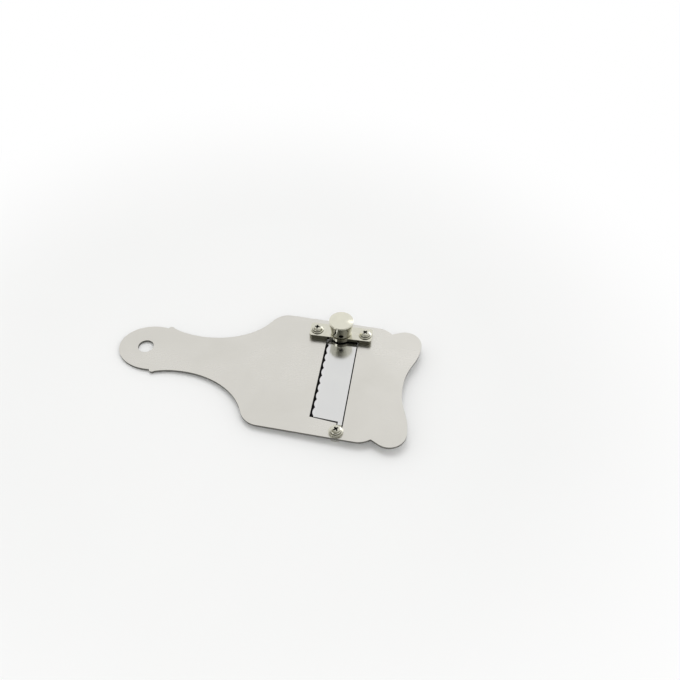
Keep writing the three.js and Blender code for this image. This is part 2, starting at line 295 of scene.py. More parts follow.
class FittingSettings(PropertyGroup):
    """Sizes and finish of the bridge, knob, screws, washers and nuts."""

    bridge_round: FloatProperty(
        name="Bridge round",
        description="Radius of the bridge's edges",
        default=0.45 * MM,
        unit="LENGTH",
    )
    knob_rim_round: FloatProperty(
        name="Knob rim round",
        description="Radius of the knob's upper edge",
        default=0.6 * MM,
        unit="LENGTH",
    )
    knob_foot_round: FloatProperty(
        name="Knob foot round",
        description="Radius of the knob's lower edge",
        default=0.5 * MM,
        unit="LENGTH",
    )
    knob_taper: FloatProperty(
        name="Knob taper",
        description="Radius of the knob's foot as a share of its rim",
        default=0.85,
        subtype="FACTOR",
    )
    knob_dome: FloatProperty(
        name="Knob dome",
        description="Rise of the knob's top in its middle",
        default=0.35 * MM,
        unit="LENGTH",
    )
    recess_span: FloatProperty(
        name="Recess span",
        description="Width across the cross recess of a screw",
        default=3.9 * MM,
        unit="LENGTH",
    )
    recess_width: FloatProperty(
        name="Recess width",
        description="Width of one wing of the cross recess",
        default=1.3 * MM,
        unit="LENGTH",
    )
    recess_depth: FloatProperty(
        name="Recess depth",
        description="Depth of the cross recess",
        default=1.9 * MM,
        unit="LENGTH",
    )
    thread_pitch: FloatProperty(
        name="Thread pitch",
        description="Pitch of the threads",
        default=0.7 * MM,
        unit="LENGTH",
    )
    nickel: FloatVectorProperty(
        name="Nickel",
        description="Bright nickel plate",
        subtype="COLOR",
        size=4,
        default=(0.650, 0.640, 0.565, 1),
    )
    tarnish: FloatVectorProperty(
        name="Tarnish",
        description="Duller nickel where it is handled",
        subtype="COLOR",
        size=4,
        default=(0.600, 0.585, 0.495, 1),
    )
    buffed: FloatVectorProperty(
        name="Buffed",
        description="Brighter nickel where it is rubbed",
        subtype="COLOR",
        size=4,
        default=(0.745, 0.735, 0.630, 1),
    )
    # Painted shade: a dark tone laid on the upright walls of the plated fittings
    wall: FloatVectorProperty(
        name="Wall",
        description="Duller nickel on upright walls",
        subtype="COLOR",
        size=4,
        default=(0.200, 0.195, 0.150, 1),
    )
    # Painted shade for recesses, hollows, corners and under flanges; the grub screw takes it too
    painted_shade_tone: FloatVectorProperty(
        name="Soot",
        description="Dark residue of polish in recesses",
        subtype="COLOR",
        size=4,
        default=(0.060, 0.057, 0.050, 1),
    )
    steel: FloatVectorProperty(
        name="Plain steel",
        description="Zinc-bright steel of nuts and stud",
        subtype="COLOR",
        size=4,
        default=(0.560, 0.555, 0.520, 1),
    )
    dull_steel: FloatVectorProperty(
        name="Dull steel",
        description="Zinc-bright steel where it is smudged",
        subtype="COLOR",
        size=4,
        default=(0.47, 0.455, 0.40, 1),
    )
    pale_steel: FloatVectorProperty(
        name="Pale steel",
        description="Fine pale specks on the zinc-bright steel",
        subtype="COLOR",
        size=4,
        default=(0.64, 0.645, 0.64, 1),
    )


class StageSettings(PropertyGroup):
    """Camera, floor and light."""

    lens: FloatProperty(
        name="Lens",
        description="Focal length of the camera, in millimetres",
        default=37.456,
        unit="CAMERA",
    )
    sensor: FloatProperty(
        name="Sensor",
        description="Width of the camera's sensor, in millimetres",
        default=36,
        unit="CAMERA",
    )
    camera_place: FloatVectorProperty(
        name="Camera place",
        description="Where the camera stands",
        subtype="TRANSLATION",
        default=(0.09995, -0.25824, 0.33864),
    )
    camera_turn: FloatVectorProperty(
        name="Camera turn",
        description="Rotation of the camera",
        subtype="EULER",
        default=(math.radians(41.272), 0, math.radians(11.475)),
    )
    floor_tone: FloatVectorProperty(
        name="Floor tone",
        description="Pale table top",
        subtype="COLOR",
        size=4,
        default=(0.885, 0.89, 0.90, 1),
    )
    room_bright: FloatVectorProperty(
        name="Bright side",
        description="Light from the far side and the sides",
        subtype="COLOR",
        size=4,
        default=(1.0, 0.995, 0.98, 1),
    )
    room_above: FloatVectorProperty(
        name="Above",
        description="Light from straight above",
        subtype="COLOR",
        size=4,
        default=(0.5, 0.5, 0.47, 1),
    )
    room_dim: FloatVectorProperty(
        name="Dim side",
        description="Light from the near side of the room",
        subtype="COLOR",
        size=4,
        default=(0.20, 0.195, 0.165, 1),
    )
    room_dark: FloatVectorProperty(
        name="Dark middle",
        description="Darkest part of the near side",
        subtype="COLOR",
        size=4,
        default=(0.08, 0.08, 0.065, 1),
    )
    room_side: FloatVectorProperty(
        name="High sides",
        description="What metal mirrors of the left and right, well above the horizon",
        subtype="COLOR",
        size=4,
        default=(0.34, 0.33, 0.285, 1),
    )
    room_low: FloatVectorProperty(
        name="Low near side",
        description="What metal mirrors of the near side, not far above the horizon",
        subtype="COLOR",
        size=4,
        default=(0.72, 0.715, 0.69, 1),
    )
    near_side: FloatVectorProperty(
        name="Near side",
        description="Direction of the dark middle of the near side",
        subtype="DIRECTION",
        default=(-0.06, -0.64, 0.766),
    )
    key_power: FloatProperty(
        name="Key power",
        description="Power of the large lamp above the object",
        default=3.2,
        unit="POWER",
    )
    fill_power: FloatProperty(
        name="Fill power",
        description="Power of the lamp that lightens the shadows from the near side",
        default=2.0,
        unit="POWER",
    )
    gleam_power: FloatProperty(
        name="Gleam power",
        description="Power of the small lamp that gleams on the knob",
        default=0.0125,
        unit="POWER",
    )
    window_power: FloatProperty(
        name="Window power",
        description="Power of the low lamp at the far right that gleams on the screws",
        default=2.2,
        unit="POWER",
    )
    front_power: FloatProperty(
        name="Front power",
        description="Power of the lamp at the near left that gleams on the boss",
        default=0.5,
        unit="POWER",
    )


# Modelling helpers


def deselect():
    """Leaves edit mode and selects nothing."""
    if bpy.context.object and bpy.context.object.mode != "OBJECT":
        bpy.ops.object.mode_set(mode="OBJECT")
    bpy.ops.object.select_all(action="DESELECT")


def take(piece):
    """Makes a piece the only selected and active object."""
    deselect()
    piece.select_set(True)
    bpy.context.view_layer.objects.active = piece


def apply_place(piece):
    """Moves a piece's place, turn and scale into its mesh."""
    take(piece)
    bpy.ops.object.transform_apply(location=True, rotation=True, scale=True)


def apply_modifier(piece, kind, **values):
    """Adds a modifier, sets it and applies it."""
    take(piece)
    modifier = piece.modifiers.new(kind.lower(), kind)
    for name, value in values.items():
        setattr(modifier, name, value)
    bpy.ops.object.modifier_apply(modifier=modifier.name)


def weld(piece, recalculate=True):
    """Merges doubled points and turns the faces outwards."""
    take(piece)
    bpy.ops.object.mode_set(mode="EDIT")
    bpy.ops.mesh.select_all(action="SELECT")
    bpy.ops.mesh.remove_doubles(threshold=WELD_REACH)
    if recalculate:
        bpy.ops.mesh.normals_make_consistent(inside=False)
    bpy.ops.object.mode_set(mode="OBJECT")


def pick(piece, wanted):
    """Enters edit mode with only those points selected that a test wants."""
    take(piece)
    bpy.ops.object.mode_set(mode="EDIT")
    bpy.ops.mesh.select_mode(type="VERT")
    bpy.ops.mesh.select_all(action="DESELECT")
    bpy.ops.object.mode_set(mode="OBJECT")
    for vertex in piece.data.vertices:
        vertex.select = wanted(vertex.co)
    bpy.ops.object.mode_set(mode="EDIT")


def welded_copy(node, name):
    """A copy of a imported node, its loose triangles joined into flat faces, to be shaped further."""
    piece = bpy.data.objects.new(name, frame["nodes"][node].data.copy())
    bpy.context.scene.collection.objects.link(piece)
    weld(piece, recalculate=False)
    bpy.ops.object.mode_set(mode="EDIT")
    bpy.ops.mesh.select_all(action="SELECT")
    bpy.ops.mesh.customdata_custom_splitnormals_clear()
    bpy.ops.mesh.dissolve_limited(angle_limit=FLAT_ANGLE)
    bpy.ops.object.mode_set(mode="OBJECT")
    return piece


def round_edges(piece, radius, segments=3, sharper_than=50):
    """Rounds the edges that turn more than an angle in degrees."""
    apply_modifier(
        piece,
        "BEVEL",
        width=radius,
        segments=segments,
        limit_method="ANGLE",
        angle_limit=math.radians(sharper_than),
    )


def smooth(piece, angle=SMOOTH_ANGLE):
    """Shades curves smooth while flat faces stay flat."""
    take(piece)
    bpy.ops.object.shade_smooth_by_angle(angle=angle)
    apply_modifier(piece, "WEIGHTED_NORMAL", weight=100, keep_sharp=True)


def turned(name, place, rings, closed=False):
    """Turns a piece about a vertical axis: a circle is extruded through rings of (radius, height).

    A closed piece runs back to its first ring, as a washer does."""
    deselect()
    radius, height = rings[0]
    bpy.ops.mesh.primitive_circle_add(
        vertices=TURN_STEPS,
        radius=radius,
        fill_type="NOTHING" if closed else "NGON",
        location=(place[0], place[1], height),
    )
    piece = bpy.context.object
    piece.name = name
    bpy.ops.object.mode_set(mode="EDIT")
    bpy.ops.mesh.select_all(action="SELECT")
    for next_radius, next_height in rings[1:] + ([rings[0]] if closed else []):
        rise = (0, 0, next_height - height)
        grow = next_radius / radius
        bpy.ops.mesh.extrude_region_move(TRANSFORM_OT_translate={"value": rise})
        bpy.ops.transform.resize(
            value=(grow, grow, 1),
            center_override=(place[0], place[1], next_height),
        )
        radius, height = next_radius, next_height
    apply_place(piece)
    weld(piece)
    return piece


def arc(radius, height, bend, start, end, steps=6):
    """Rings along an arc round (radius, height), with angles in degrees from the outward side."""
    rings = []
    for step in range(steps + 1):
        angle = math.radians(start + (end - start) * step / steps)
        rings.append((radius + bend * math.cos(angle), height + bend * math.sin(angle)))
    return rings


def thread(radius, low, high, pitch):
    """Rings of a threaded stem, crest and root in turn."""
    root = radius - THREAD_DEPTH * pitch
    count = int((high - low) / pitch)
    rings = []
    for turn in range(count):
        foot = low + turn * pitch
        rings.append((root, foot))
        rings.append((radius, foot + CREST_START * pitch))
        rings.append((radius, foot + CREST_END * pitch))
    rings.append((root, low + count * pitch))
    return rings


def cut(piece, cutter, operation="DIFFERENCE"):
    """Cuts one piece with another and removes the cutter."""
    apply_modifier(piece, "BOOLEAN", operation=operation, object=cutter, solver="EXACT")
    bpy.data.objects.remove(cutter)


def copy_to(piece, name, start, end, turn=0.0):
    """A copy with its own mesh, turned about the vertical at its start and moved to its end."""
    twin = bpy.data.objects.new(name, piece.data.copy())
    bpy.context.scene.collection.objects.link(twin)
    spin = Matrix.Rotation(turn, 4, "Z")
    twin.data.transform(Matrix.Translation(end) @ spin @ Matrix.Translation(-start))
    return twin


def lay_along(piece, direction, place):
    """Turns a piece that stands at the origin so that it points along a direction from a place."""
    piece.rotation_euler = direction.to_track_quat("Z", "Y").to_euler()
    piece.location = place
    apply_place(piece)


def settle(piece, node, body, material):
    """Puts a finished piece on its body, in its finish and, if it has one, in the place of its node."""
    piece.data.materials.clear()
    piece.data.materials.append(material)
    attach(piece, body)
    if node:
        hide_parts(node)


def paint_shade_faces(piece, material, inside):
    """Paints shade, with a dark finish of its own, on the faces that a test picks, such as those inside a
    recess.
    """
    piece.data.materials.append(material)
    for face in piece.data.polygons:
        if inside(face.center):
            face.material_index = 1


# Shader helpers


def add_node(tree, kind, inputs=None, **values):
    """Adds a shader node, sets its properties, and links or sets its inputs."""
    made = tree.nodes.new(kind)
    for name, value in values.items():
        setattr(made, name, value)
    for name, value in (inputs or {}).items():
        if isinstance(value, NodeSocket):
            tree.links.new(value, made.inputs[name])
        else:
            made.inputs[name].default_value = value
    return made


def maths(tree, operation, first, second=0.0):
    """One step of arithmetic on values or sockets."""
    return add_node(tree, "ShaderNodeMath", {0: first, 1: second}, operation=operation).outputs[0]


def ranged(tree, value, start=0.0, end=1.0, low=0.0, high=1.0, ease="LINEAR"):
    """Maps a value that runs from start to end to one that runs from low to high and stays there."""
    inputs = {"Value": value, "From Min": start, "From Max": end, "To Min": low, "To Max": high}
    return add_node(tree, "ShaderNodeMapRange", inputs, interpolation_type=ease).outputs[0]


def mixed(tree, factor, first, second, blend="MIX"):
    """Mixes a second colour into a first one."""
    inputs = {"Factor": factor, "A": first, "B": second}
    return add_node(tree, "ShaderNodeMix", inputs, data_type="RGBA", blend_type=blend).outputs["Result"]


def axes(tree, vector):
    """The X, Y and Z of a vector."""
    return add_node(tree, "ShaderNodeSeparateXYZ", {0: vector}).outputs


def centred(tree, vector, place, turn=0.0, scale=(1, 1, 1)):
    """Coordinates measured from a point, turned about the vertical, in units of a scale."""
    inputs = {"Vector": vector, "Location": place, "Rotation": (0, 0, turn), "Scale": scale}
    return add_node(tree, "ShaderNodeMapping", inputs, vector_type="TEXTURE").outputs["Vector"]


def noise(tree, vector, **values):
    """Soft noise with its own values."""
    return add_node(tree, "ShaderNodeTexNoise", {"Vector": vector, **values}).outputs["Fac"]


def new_group(name, inputs, outputs):
    """An empty shader node group; a socket named Vector takes one, and all others hold values."""
    group = bpy.data.node_groups.new(name, "ShaderNodeTree")
    for socket in inputs:
        kind = "NodeSocketVector" if socket == "Vector" else "NodeSocketFloat"
        group.interface.new_socket(socket, in_out="INPUT", socket_type=kind)
    for socket in outputs:
        group.interface.new_socket(socket, in_out="OUTPUT", socket_type="NodeSocketFloat")
    start = group.nodes.new("NodeGroupInput")
    end = group.nodes.new("NodeGroupOutput")
    return group, start.outputs, end.inputs


def grain_group():
    """Fine parallel polishing lines along the X of the vector that comes in."""
    found = bpy.data.node_groups.get("polishing_grain")
    if found:
        return found
    group, source, result = new_group("polishing_grain", ["Vector", "Across", "Along"], ["Lines"])
    stretch = {"X": source["Along"], "Y": source["Across"], "Z": source["Across"]}
    factors = {0: source["Vector"], 1: add_node(group, "ShaderNodeCombineXYZ", stretch).outputs[0]}
    stretched = add_node(group, "ShaderNodeVectorMath", factors, operation="MULTIPLY").outputs[0]
    lines = noise(group, stretched, Scale=1.0, Detail=3.0, Roughness=0.6)
    group.links.new(lines, result["Lines"])
    return group


def handling_group():
    """Soft smudges from hands and, where they lie, a few thin slanting scratches."""
    found = bpy.data.node_groups.get("handling_marks")
    if found:
        return found
    group, source, result = new_group("handling_marks", ["Vector", "Size"], ["Smudge", "Scratch"])
    clouds = noise(
        group,
        source["Vector"],
        Scale=source["Size"],
        Detail=4.0,
        Roughness=0.55,
        Distortion=0.6,
    )
    smudge = ranged(group, clouds, start=0.35, end=0.75)
    slant = {"Vector": source["Vector"], "Rotation": (0, 0, 0.5), "Scale": (0.12, 1.0, 1.0)}
    leaning = add_node(group, "ShaderNodeMapping", slant).outputs[0]
    finer = maths(group, "MULTIPLY", source["Size"], 3.0)
    cells = add_node(
        group,
        "ShaderNodeTexVoronoi",
        {"Vector": leaning, "Scale": finer},
        feature="DISTANCE_TO_EDGE",
    )
    line = ranged(group, cells.outputs["Distance"], end=0.012, low=1.0, high=0.0)
    group.links.new(smudge, result["Smudge"])
    group.links.new(maths(group, "MULTIPLY", line, smudge), result["Scratch"])
    return group


def rim_group():
    """Marks rounded rims, which face more or less sideways, and upright walls."""
    found = bpy.data.node_groups.get("rim_mask")
    if found:
        return found
    group, _, result = new_group("rim_mask", [], ["Rim", "Wall"])
    normal = add_node(group, "ShaderNodeNewGeometry").outputs["True Normal"]
    upward = maths(group, "ABSOLUTE", axes(group, normal)["Z"])
    group.links.new(ranged(group, upward, start=0.99, end=0.8), result["Rim"])
    group.links.new(ranged(group, upward, start=0.3, end=0.05), result["Wall"])
    return group


class MetalShader:
    """A metal material whose colour, roughness and bump are built up step by step."""

    def __init__(self, name, tone):
        self.material = bpy.data.materials.new(name)
        self.material.use_nodes = True
        self.tree = self.material.node_tree
        self.shader = self.tree.nodes["Principled BSDF"]
        self.shader.inputs["Metallic"].default_value = 1.0
        self.place = add_node(self.tree, "ShaderNodeTexCoord").outputs["Object"]
        self.colour = tuple(tone)
        self.roughness = None

    def group(self, group, **inputs):
        """Places a shared effect with its own values."""
        return add_node(self.tree, "ShaderNodeGroup", inputs, node_tree=group).outputs

    def tint(self, mask, colour, share=1.0, start=0.0, end=1.0):
        """Mixes another colour in, up to a share, as a mask rises from start to end."""
        factor = ranged(self.tree, mask, start, end, 0.0, share)
        self.colour = mixed(self.tree, factor, self.colour, tuple(colour))

    def roughen(self, mask, low, high, start=0.0, end=1.0):
        """Adds a roughness from low to high as a mask rises from start to end."""
        added = ranged(self.tree, mask, start, end, low, high)
        if self.roughness is not None:
            added = maths(self.tree, "ADD", self.roughness, added)
        self.roughness = added

    def finish(self, height, strength, depth):
        """Feeds colour, roughness and bump to the shader."""
        inputs = {"Height": height, "Strength": strength, "Distance": depth}
        bump = add_node(self.tree, "ShaderNodeBump", inputs)
        link = self.tree.links.new
        link(self.colour, self.shader.inputs["Base Color"])
        link(self.roughness, self.shader.inputs["Roughness"])
        link(bump.outputs["Normal"], self.shader.inputs["Normal"])
        return self.material


# Finishes


def satin_steel(settings):
    """Stamped sheet, satin-polished along its length, with a painted highlight on its rounded rim and a
    dark wall: dull sheared steel darkened further with painted shade.
    """
    metal = MetalShader("satin_steel_finish", settings.light_tone)
    grain = metal.group(grain_group(), Vector=metal.place, Along=90.0, Across=5200.0)["Lines"]
    smudge = metal.group(handling_group(), Vector=metal.place, Size=26.0)["Smudge"]
    rim = metal.group(rim_group())
    metal.tint(smudge, settings.dark_tone, share=0.75)
    metal.tint(grain, settings.dark_tone, share=0.12, start=0.35, end=0.65)
    # Painted highlight on the rounded rim, which faces partly sideways
    metal.tint(rim["Rim"], settings.rim_highlight_tone, share=0.5)
    # Upright walls: partly duller sheared steel, partly painted shade
    metal.tint(rim["Wall"], settings.sheared_wall_shade_tone)
    metal.roughen(grain, low=0.255, high=0.28, start=0.3, end=0.7)
    metal.roughen(smudge, low=0.0, high=0.05)
    metal.roughen(rim["Wall"], low=0.0, high=0.2)
    return metal.finish(grain, strength=0.025, depth=0.02 * MM)


def polished_steel(settings):
    """Mirror-polished blade with a ground band along its scallops."""
    metal = MetalShader("polished_steel_finish", settings.tone)
    tree = metal.tree
    blade = centred(tree, metal.place, (KNOB_AXIS.x, KNOB_AXIS.y, 0), SKEW)
    grain = metal.group(grain_group(), Vector=blade, Along=3800.0, Across=160.0)["Lines"]
    smudge = metal.group(handling_group(), Vector=blade, Size=45.0)["Smudge"]
    inner = HONE_BORDER / 2 - settings.hone_start
    across = axes(tree, blade)["X"]
    hone = ranged(tree, across, start=inner - HONE_BORDER, end=inner, low=1.0, high=0.0)
    stone = maths(tree, "MULTIPLY", hone, ranged(tree, grain, start=0.4, end=0.7))
    metal.tint(smudge, settings.smudge_tone, share=0.5)
    metal.tint(hone, settings.hone_tone, share=0.85)
    metal.tint(stone, settings.stone_tone, share=0.35)
    metal.roughen(smudge, low=0.15, high=0.19)
    metal.roughen(hone, low=0.0, high=0.08)
    lines = maths(tree, "MULTIPLY", grain, ranged(tree, hone, low=0.08))
    return metal.finish(lines, strength=0.06, depth=0.02 * MM)


def nickel_plate(settings):
    """Bright nickel over cast and turned metal: slightly wavy, with dull spots where it is handled, and
    painted shade on its upright walls.
    """
    found = bpy.data.materials.get("nickel_plate_finish")
    if found:
        return found
    metal = MetalShader("nickel_plate_finish", settings.nickel)
    marks = metal.group(handling_group(), Vector=metal.place, Size=110.0)
    wave = noise(metal.tree, metal.place, Scale=420.0, Detail=2.0)
    metal.tint(marks["Smudge"], settings.tarnish, share=0.6)
    metal.tint(wave, settings.buffed, share=0.3, start=0.45, end=0.7)
    metal.tint(marks["Scratch"], settings.buffed, share=0.3)
    # Painted shade on upright walls, such as the bridge's front and the screws' heads
    metal.tint(metal.group(rim_group())["Wall"], settings.wall, share=0.6)
    metal.roughen(marks["Smudge"], low=0.09, high=0.17)
    return metal.finish(wave, strength=0.12, depth=0.06 * MM)


def turned_nickel(settings):
    """Nickel on the lathe-turned knob: faint rings round its axis."""
    metal = MetalShader("turned_nickel_finish", settings.buffed)
    tree = metal.tree
    knob = centred(tree, metal.place, (KNOB_AXIS.x, KNOB_AXIS.y, 0))
    flat = add_node(tree, "ShaderNodeVectorMath", {0: knob, 1: (1, 1, 0)}, operation="MULTIPLY")
    reach = add_node(tree, "ShaderNodeVectorMath", {0: flat.outputs[0]}, operation="LENGTH")
    rings = add_node(
        tree,
        "ShaderNodeTexNoise",
        {"W": reach.outputs["Value"], "Scale": 5200.0, "Detail": 2.0},
        noise_dimensions="1D",
    ).outputs["Fac"]
    smudge = metal.group(handling_group(), Vector=knob, Size=90.0)["Smudge"]
    metal.tint(rings, settings.nickel, share=0.4, start=0.35, end=0.65)
    metal.tint(smudge, settings.nickel, share=0.5)
    metal.roughen(smudge, low=0.09, high=0.16)
    return metal.finish(rings, strength=0.05, depth=0.02 * MM)


def painted_shade_nickel(settings):
    """Nickel painted dark with shade, for recesses, hollows, corners and under flanges."""
    found = bpy.data.materials.get("sooty_nickel_finish")
    if found:
        return found
    metal = MetalShader("sooty_nickel_finish", settings.painted_shade_tone)
    smudge = metal.group(handling_group(), Vector=metal.place, Size=900.0)["Smudge"]
    metal.tint(smudge, settings.tarnish, share=0.25)
    metal.roughen(smudge, low=0.5, high=0.32)
    return metal.finish(smudge, strength=0.15, depth=0.03 * MM)


def plain_steel(settings):
    """Zinc-bright nuts and stud with a mottled, slightly dull skin."""
    found = bpy.data.materials.get("plain_steel_finish")
    if found:
        return found
    metal = MetalShader("plain_steel_finish", settings.steel)
    smudge = metal.group(handling_group(), Vector=metal.place, Size=160.0)["Smudge"]
    speck = noise(metal.tree, metal.place, Scale=1500.0, Detail=3.0)
    metal.tint(smudge, settings.dull_steel, share=0.7)
    metal.tint(speck, settings.pale_steel, share=0.4, start=0.5, end=0.75)
    metal.roughen(speck, low=0.22, high=0.36, start=0.3, end=0.7)
    return metal.finish(speck, strength=0.1, depth=0.03 * MM)


def window_shade(tree, place):
    """Marks where deep shade is painted on the floor under the plate's window, softly at its edges."""
    middle = (SHADE_PLACE.x, SHADE_PLACE.y, 0)
    under = centred(tree, place, middle, SKEW, (SHADE_HALF_WIDTH, SHADE_HALF_LENGTH, 1))
    size = add_node(tree, "ShaderNodeVectorMath", {0: under}, operation="ABSOLUTE")
    across = axes(tree, size.outputs[0])
    reach = maths(tree, "MAXIMUM", across["X"], across["Y"])
    return ranged(tree, reach, 1.0, SHADE_CORE, ease="SMOOTHSTEP")


def far_white(tree, place):
    """Marks the floor far off, for rays from the camera, a mirror or glass."""
    reach = add_node(tree, "ShaderNodeVectorMath", {0: place}, operation="LENGTH")
    fade = ranged(tree, reach.outputs["Value"], FADE_START, FADE_END, ease="SMOOTHSTEP")
    rays = add_node(tree, "ShaderNodeLightPath").outputs
    seen = maths(tree, "MAXIMUM", rays["Is Camera Ray"], rays["Is Glossy Ray"])
    seen = maths(tree, "MAXIMUM", seen, rays["Is Transmission Ray"])
    return maths(tree, "MULTIPLY", seen, fade)


def pale_table(settings):
    """Pale table top that keeps the shadow, has painted deep shade under the window and turns to white far
    off.
    """
    material = bpy.data.materials.new("pale_table")
    material.use_nodes = True
    tree = material.node_tree
    tree.nodes.clear()
    place = add_node(tree, "ShaderNodeTexCoord").outputs["Object"]
    pale = tuple(settings.floor_tone)
    cloudy = [CLOUD_TONE * value for value in pale]
    tone = mixed(tree, noise(tree, place, Scale=9.0, Detail=3.0), pale, cloudy)
    # Painted shade: a near-black tone under the window
    tone = mixed(tree, window_shade(tree, place), tone, SHADE_TONE)
    cover = add_node(tree, "ShaderNodeBsdfDiffuse", {"Color": tone})
    white = add_node(tree, "ShaderNodeEmission", {"Color": WHITE, "Strength": 1.0})
    shaders = {0: far_white(tree, place), 1: cover.outputs[0], 2: white.outputs[0]}
    mix = add_node(tree, "ShaderNodeMixShader", shaders)
    add_node(tree, "ShaderNodeOutputMaterial", {"Surface": mix.outputs[0]})
    return material


# Pieces


class SLICER_OT_plate(Operator):
    """Rounds the rim of the stamped plate and gives it a satin polish"""

    bl_idname = "slicer.plate"
    bl_label = "Plate"

    def execute(self, context):
        settings = context.scene.slicer_plate
        plate = welded_copy("plate", "steel_plate")
        round_edges(plate, settings.rim_round)
        smooth(plate)
        settle(plate, "plate", "plate", satin_steel(settings))
        return {"FINISHED"}


class SLICER_OT_blade(Operator):
    """Sets the bend of the scalloped blade's neck and polishes the blade"""

    bl_idname = "slicer.blade"
    bl_label = "Blade"

    def execute(self, context):
        settings = context.scene.slicer_blade
        blade = welded_copy("blade", "steel_blade")
        self.move_bend(blade, settings.bend_shift)
        smooth(blade, BLADE_SMOOTH_ANGLE)
        settle(blade, "blade", "blade", polished_steel(settings))
        return {"FINISHED"}

    def move_bend(self, blade, shift):
        """Moves the neck's upper bend towards the eye, so that the neck is level where it can be seen."""
        eye = centre_of("blade_screw")
        pick(blade, lambda point: abs((point - eye).dot(BLADE_WAY) - BEND_ABOVE_EYE) < BEND_REACH)
        bpy.ops.transform.translate(value=-shift * BLADE_WAY)
        bpy.ops.object.mode_set(mode="OBJECT")


class SLICER_OT_bridge(Operator):
    """Rounds the edges of the bridge and plates it"""

    bl_idname = "slicer.bridge"
    bl_label = "Bridge"

    def execute(self, context):
        settings = context.scene.slicer_fittings
        bridge = welded_copy("bridge", "nickel_bridge")
        round_edges(bridge, settings.bridge_round)
        smooth(bridge)
        settle(bridge, "bridge", "plate", nickel_plate(settings))
        return {"FINISHED"}


class SLICER_OT_knob(Operator):
    """Turns the thumb knob, its threaded stud and its grub screw"""

    bl_idname = "slicer.knob"
    bl_label = "Knob and stud"

    def execute(self, context):
        settings = context.scene.slicer_fittings
        knob = self.knob(settings)
        settle(knob, "knob", "thumb_screw", turned_nickel(settings))
        # Painted shade on the wall of the grub screw's hole
        paint_shade_faces(knob, painted_shade_nickel(settings), self.in_grub_hole)
        stud = self.stud(settings)
        settle(stud, "stud", "thumb_screw", plain_steel(settings))
        grub = self.grub_screw()
        # The grub screw, deep in its hole, is coloured with the same painted shade
        settle(grub, None, "thumb_screw", painted_shade_nickel(settings))
        return {"FINISHED"}

    def knob(self, settings):
        """Tapered knob with a domed top, a socket for the stud and a hole for the grub screw."""
        low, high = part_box("knob")
        top_radius = (high.x - low.x) / 2
        foot_radius = settings.knob_taper * top_radius
        rim = settings.knob_rim_round
        foot = settings.knob_foot_round
        dome = settings.knob_dome
        flat = top_radius - rim
        rings = [
            (SOCKET_RADIUS, low.z + SOCKET_DEPTH),
            (SOCKET_RADIUS, low.z + SOCKET_MOUTH),
            (SOCKET_RADIUS + SOCKET_MOUTH, low.z),
        ]
        rings += arc(foot_radius - foot, low.z + foot, foot, -90, 0, 8)
        rings += arc(flat, high.z - dome - rim, rim, 0, KNOB_RIM_END, 8)
        for share in DOME_SHARES:
            rings.append((share * flat, high.z - dome * share**2))
        knob = turned("turned_knob", KNOB_AXIS, rings)
        hole = turned("grub_hole", (0, 0), [(GRUB_RADIUS, 0), (GRUB_RADIUS, top_radius)])
        lay_along(hole, GRUB_WAY, GRUB_PLACE)
        cut(knob, hole)
        smooth(knob)
        return knob

    def in_grub_hole(self, point):
        """Tells whether a point lies on the wall of the grub screw's hole."""
        along = (point - GRUB_PLACE).dot(GRUB_WAY)
        aside = (point - GRUB_PLACE - along * GRUB_WAY).length
        reach = 1.02 * GRUB_RADIUS
        return GRUB_HOLE_START < along < GRUB_HOLE_END and aside < reach

    def grub_screw(self):
        """Threaded screw with a six-sided socket, deep in the knob's hole and hard against the stud."""
        radius = GRUB_FIT * GRUB_RADIUS
        point = 0.3 * MM
        chamfer = 0.2 * MM
        rings = [(GRUB_POINT * radius, GRUB_START)]
        rings += thread(radius, GRUB_START + point, GRUB_END - chamfer, GRUB_PITCH)
        rings += [(GRUB_FACE * radius, GRUB_END)]
        grub = turned("grub_screw", (0, 0), rings)
        deselect()
        bpy.ops.mesh.primitive_cylinder_add(
            vertices=6,
            radius=GRUB_KEY_RADIUS,
            depth=2 * GRUB_KEY_DEPTH,
            location=(0, 0, GRUB_END),
        )
        cut(grub, bpy.context.object)
        smooth(grub)
        lay_along(grub, GRUB_WAY, GRUB_PLACE)
        return grub

    def stud(self, settings):
        """Staked end, journal through the blade, shoulder and threaded stem."""
        low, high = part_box("stud")
        bend = STUD_END_ROUND
        shoulder = PLATE_HIGH.z + STUD_SHOULDER
        end_flat = STEM_RADIUS - 0.5 * MM
        root = STEM_RADIUS - 0.35 * MM
        tip = STEM_RADIUS - 0.4 * MM
        run_in = 0.2 * MM
        rings = [(end_flat, low.z)]
        rings += arc(STEM_RADIUS - bend, low.z + bend, bend, -90, 90, 6)
        rings += [(STUD_JOURNAL, low.z + STUD_END), (STUD_JOURNAL, shoulder), (root, shoulder)]
        rings += thread(STEM_RADIUS, shoulder + run_in, high.z, settings.thread_pitch)
        rings += [(tip, high.z)]
        stud = turned("threaded_stud", KNOB_AXIS, rings)
        smooth(stud)
        return stud


